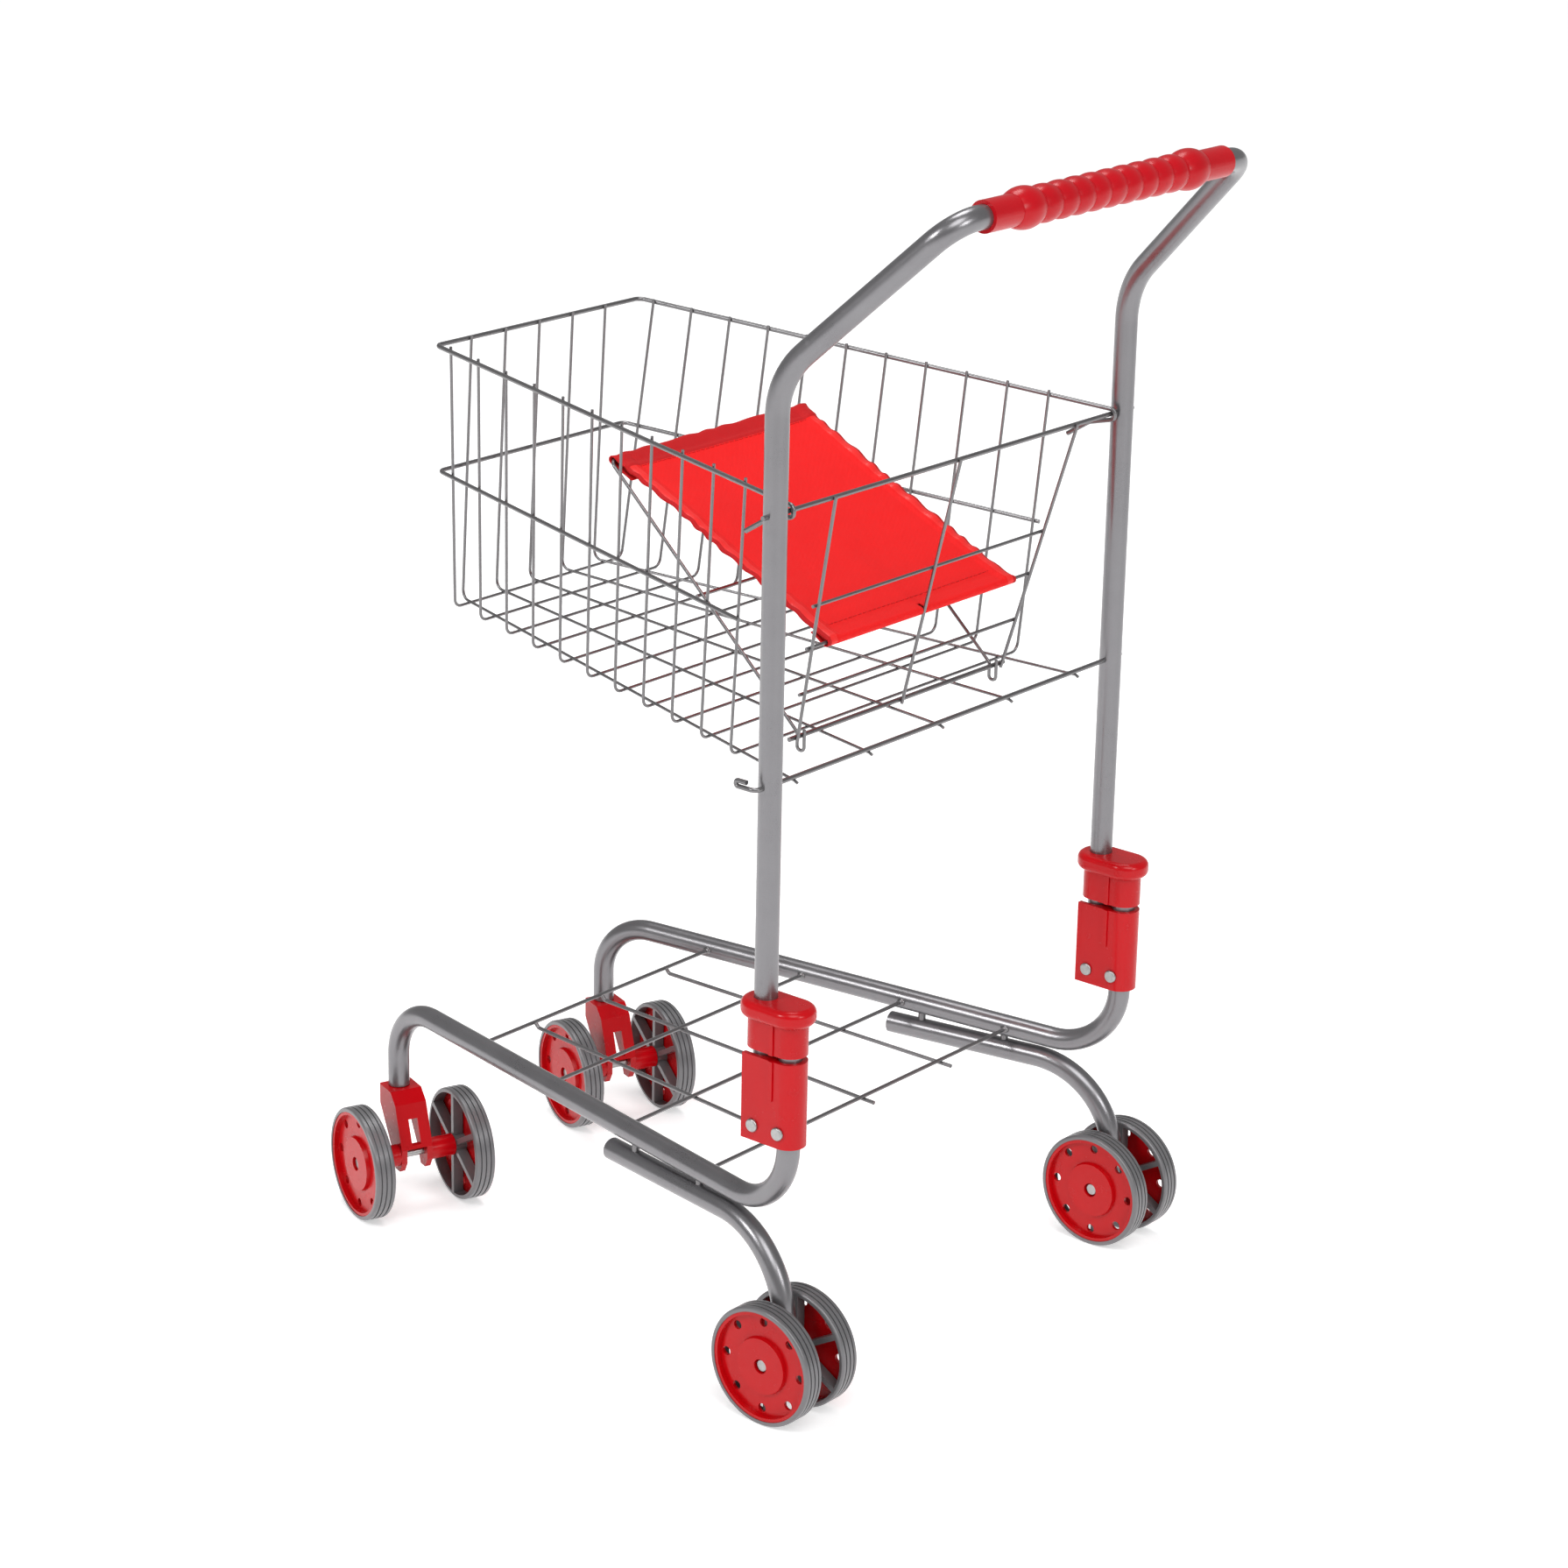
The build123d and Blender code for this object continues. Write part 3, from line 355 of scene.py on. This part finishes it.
class ClothLine:
    """The cloth's line in the YZ plane, by distance along the cut cloth from its rear edge."""

    def __init__(self, rear, front):
        self.rear, self.front = rear, front
        self.reach = (front - rear).length
        self.ahead = (front - rear).normalized()
        up = Vector((0, -self.ahead.z, self.ahead.y))
        self.up = up if up.z > 0 else -up
        self.turn = pi * hem_radius
        self.run_start = rear_turn_in + self.turn
        self.run_end = self.run_start + self.reach
        self.total = self.run_end + self.turn + front_turn_in

    def place(self, s):
        if s < rear_turn_in:
            back = rear_turn_in - s
            drop = panel_drop * min(1, back / ease_length)
            return self.rear + self.ahead * back - self.up * (hem_radius - drop)
        if s < self.run_start:
            return self.round_bar(self.rear, (s - rear_turn_in) / hem_radius, -1)
        if s < self.run_end:
            run = s - self.run_start
            ease = min(1.0, run / ease_length, (self.reach - run) / ease_length)
            return self.rear + self.ahead * run + self.up * (hem_radius - panel_drop * ease)
        if s < self.run_end + self.turn:
            return self.round_bar(self.front, (s - self.run_end) / hem_radius, 1)
        back = s - self.run_end - self.turn
        drop = front_turn_in_drop * min(1.0, back / ease_length)
        return self.front - self.ahead * back - self.up * (hem_radius - drop)

    def round_bar(self, bar, angle, side):
        """Half a turn round a bar: up its rear side (-1), or down its front one (1)."""
        return bar + (self.ahead * sin(angle) + self.up * cos(angle)) * (side * hem_radius)


def lie_of(across, in_run):
    """How far the stretched panel sits off the straight line between its bars."""
    free = sin(pi * in_run)
    sag = -panel_sag * free * (1 - across * across)
    drag = noise.noise(Vector((across * 1.6, in_run * 4.0, 3.1)))
    ripple = noise.noise(Vector((across * 5.0, in_run * 12.0, 7.7)))
    return sag + panel_drag * drag * free ** 0.5 + panel_ripple * ripple * free ** 0.4


def hem_gather(across):
    """Small scallops where the front hem is drawn up on its bar."""
    return scallop_depth * sin(across * 24.0 + 2.0 * sin(across * 7.0))


def near_seam(distance):
    """1 on a seam's line, falling to 0 at its edges."""
    return max(0.0, 1 - abs(distance) / seam_half_width)


def place_on_cloth(line, across, s):
    """Where a point of the cut cloth lies: across is -1 to 1, s runs from the rear edge."""
    in_run = max(0.0, min(1.0, (s - line.run_start) / line.reach))
    on_top = line.run_start < s < line.run_end
    free = sin(pi * in_run) if on_top else 0.0
    to_front = line.run_end - s
    # the piped side hem draws the edge in and puckers it
    edge = max(0.0, (abs(across) - piping_from) / (1 - piping_from))
    left = across > 0
    pucker = sin(s * 2 * pi / pucker_pitch + 1.5 * sin(s * 130) + (0.7 if left else 0.0))
    ease = left_pucker if left else 1.0
    draw = pucker_draw * ease * edge * free ** 0.3 * (0.5 + 0.5 * pucker)
    half = cloth_half_width - panel_waist * free ** 0.5 - draw
    lift = pucker_lift * ease * edge * pucker * free ** 0.25
    lift += piping_height * sin(pi * min(1.0, edge)) if on_top else 0.0
    lift += front_band_lift * near_seam(to_front - front_band + seam_half_width)
    side = abs(across) * cloth_half_width - cloth_half_width + side_band
    lift -= side_seam_depth * near_seam(side) * free
    lift += lie_of(across, in_run) * on_top
    gather = hem_gather(across) if -line.turn < to_front < scallop_reach else 0.0
    spot = line.place(s) + line.up * lift + line.ahead * gather
    return Vector((across * half, spot.y, spot.z))


def cut_notch(shape, line):
    """The rear hem is cut away round the middle upright of the gate."""
    gone = []
    for face in shape.faces:
        middle = face.calc_center_median()
        behind = (middle - line.rear).dot(line.ahead) < notch_length
        if abs(middle.x) < notch_half_width and behind:
            gone.append(face)
    bmesh.ops.delete(shape, geom=gone, context="FACES")


def paint_hem_shade_and_sheen(cloth, line):
    """The front hem and the sides' edges get the darker cloth as painted shade, the side bands
    the lighter tape as painted sheen.
    """
    cloth.materials.append(hem_red_painted_shade)
    cloth.materials.append(tape_red_painted_sheen)
    weave = cloth.uv_layers["weave"].data
    for face in cloth.polygons:
        spots = [weave[i].uv for i in face.loop_indices]
        s = sum(p.y for p in spots) / len(spots)
        x = abs(sum(p.x for p in spots) / len(spots))
        if s > line.run_end - front_band or x > cloth_half_width * shaded_edge_share:
            face.material_index = 1
        elif x > cloth_half_width - side_band:
            face.material_index = 2


def make_sling():
    """The seat's cloth: a flat cut sheet laid round both bars, with its hems."""
    line = ClothLine(*seat_bars())
    shape = bmesh.new()
    bmesh.ops.create_grid(shape, x_segments=grid_across, y_segments=grid_along, size=0.5)
    weave = shape.loops.layers.uv.new("weave")
    for face in shape.faces:
        for loop in face.loops:
            x, y = loop.vert.co.x, loop.vert.co.y
            loop[weave].uv = (x * 2 * cloth_half_width, (y + 0.5) * line.total)
    for vert in shape.verts:
        vert.co = place_on_cloth(line, vert.co.x * 2, (vert.co.y + 0.5) * line.total)
    cut_notch(shape, line)
    bmesh.ops.recalc_face_normals(shape, faces=shape.faces)
    sling = piece_from(shape, "seat_sling_cloth", seat_red, None)
    paint_hem_shade_and_sheen(sling.data, line)
    thick = sling.modifiers.new("thickness", "SOLIDIFY")
    thick.thickness = cloth_thickness
    thick.offset = 0.0
    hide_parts("seat_sling")
    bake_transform(sling)
    stitches = make_stitches(line)


def make_stitches(line):
    """Lines of thread along the front and rear hems."""
    shape = bmesh.new()
    count = int(2 * cloth_half_width * stitched_share / stitch_pitch)
    front_seam = front_band + seam_half_width / 2
    for s in (line.run_start + rear_seam, line.run_end - front_seam):
        spot = line.place(s)
        for i in range(count):
            x = (i - (count - 1) / 2) * stitch_pitch
            lie = lie_of(x / cloth_half_width, (s - line.run_start) / line.reach)
            lift = lie + cloth_thickness / 2 + stitch_rise
            made = bmesh.ops.create_cone(shape, cap_ends=True, segments=6,
                                         radius1=stitch_radius, radius2=stitch_radius,
                                         depth=stitch_length)
            bmesh.ops.rotate(shape, verts=made["verts"], cent=(0, 0, 0),
                             matrix=Matrix.Rotation(pi / 2, 3, "Y"))
            bmesh.ops.translate(shape, verts=made["verts"],
                                vec=Vector((x, spot.y, spot.z)) + line.up * lift)
    weave = shape.loops.layers.uv.new("weave")
    for face in shape.faces:
        for loop in face.loops:
            loop[weave].uv = (loop.vert.co.x, loop.vert.co.y)
    stitches = piece_from(shape, "seat_sling_stitches", thread_red, None)
    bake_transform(stitches)
    return stitches


make_sling()


# ---- studio --------------------------------------------------------------------------
floor_size = 30.0
floor_glow = 0.46  # keeps the floor pale under the soft light
sun_strength = 1.15
sun_spread = radians(35)
sun_from = (1.1, 1.5, 2.6)
world_strength = 0.32
camera_right = (-0.63973, 0.76835, 0.01947)
camera_ahead = (-0.72976, -0.59926, -0.32915)
camera_from_posts = (1.4166, 1.0675, 0.8809)  # its Y is from the posts' middle
camera_lens, camera_sensor = 94.5, 36.0


def make_floor():
    shape = bmesh.new()
    bmesh.ops.create_grid(shape, x_segments=2, y_segments=2, size=floor_size)
    finish = Finish("pale_floor", Roughness=0.9, Specular_IOR_Level=0.1,
                    Emission_Strength=floor_glow, Emission_Color=(1, 1, 1, 1))
    tone = finish.noise(1.5, 2.0)
    finish.drive("Base Color", finish.mix(tone, (0.86, 0.86, 0.86, 1), (0.84, 0.84, 0.84, 1)))
    mesh = bpy.data.meshes.new("studio_floor")
    shape.to_mesh(mesh)
    shape.free()
    mesh.materials.append(finish.material)
    floor = bpy.data.objects.new("studio_floor", mesh)
    bpy.context.scene.collection.objects.link(floor)


def area_light(name, spot, aim, size, watts):
    lamp = bpy.data.lights.new(name, "AREA")
    lamp.shape = "DISK"
    lamp.size = size
    lamp.energy = watts
    holder = bpy.data.objects.new(name, lamp)
    bpy.context.scene.collection.objects.link(holder)
    holder.location = spot
    holder.rotation_euler = (Vector(aim) - Vector(spot)).to_track_quat("-Z", "Y").to_euler()


def make_sun():
    sun = bpy.data.lights.new("window_light", "SUN")
    sun.energy = sun_strength
    sun.angle = sun_spread
    holder = bpy.data.objects.new("window_light", sun)
    bpy.context.scene.collection.objects.link(holder)
    holder.rotation_euler = Vector(sun_from).to_track_quat("Z", "Y").to_euler()


def make_world():
    world = bpy.data.worlds.new("studio_world")
    world.use_nodes = True
    back = world.node_tree.nodes["Background"]
    back.inputs["Color"].default_value = (1, 1, 1, 1)
    back.inputs["Strength"].default_value = world_strength
    bpy.context.scene.world = world
    bpy.context.scene.view_settings.view_transform = "Standard"


def make_studio():
    make_floor()
    make_sun()
    area_light("key_light", (2.2, -0.6, 1.9), (0, 0, 0.3), 0.8, 26.0)
    area_light("fill_light", (0.3, 2.6, 1.5), (0, 0, 0.3), 0.9, 17.0)
    area_light("top_light", (-0.5, -0.5, 2.4), (0, 0, 0.2), 1.0, 17.0)
    make_world()


def make_camera():
    """Long lens from behind the cart's left side, a little above the handle."""
    low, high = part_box("post_left")
    posts_y = (low[1] + high[1]) / 2
    right = Vector(camera_right).normalized()
    ahead = Vector(camera_ahead).normalized()
    above = right.cross(ahead).normalized()
    lens = bpy.data.cameras.new("camera")
    lens.sensor_width = camera_sensor
    lens.lens = camera_lens
    camera = bpy.data.objects.new("camera", lens)
    bpy.context.scene.collection.objects.link(camera)
    x, y, z = camera_from_posts
    turn = Matrix((right, above, -ahead)).transposed().to_4x4()
    camera.matrix_world = Matrix.Translation((x, y + posts_y, z)) @ turn
    bpy.context.scene.camera = camera


make_studio()
make_camera()
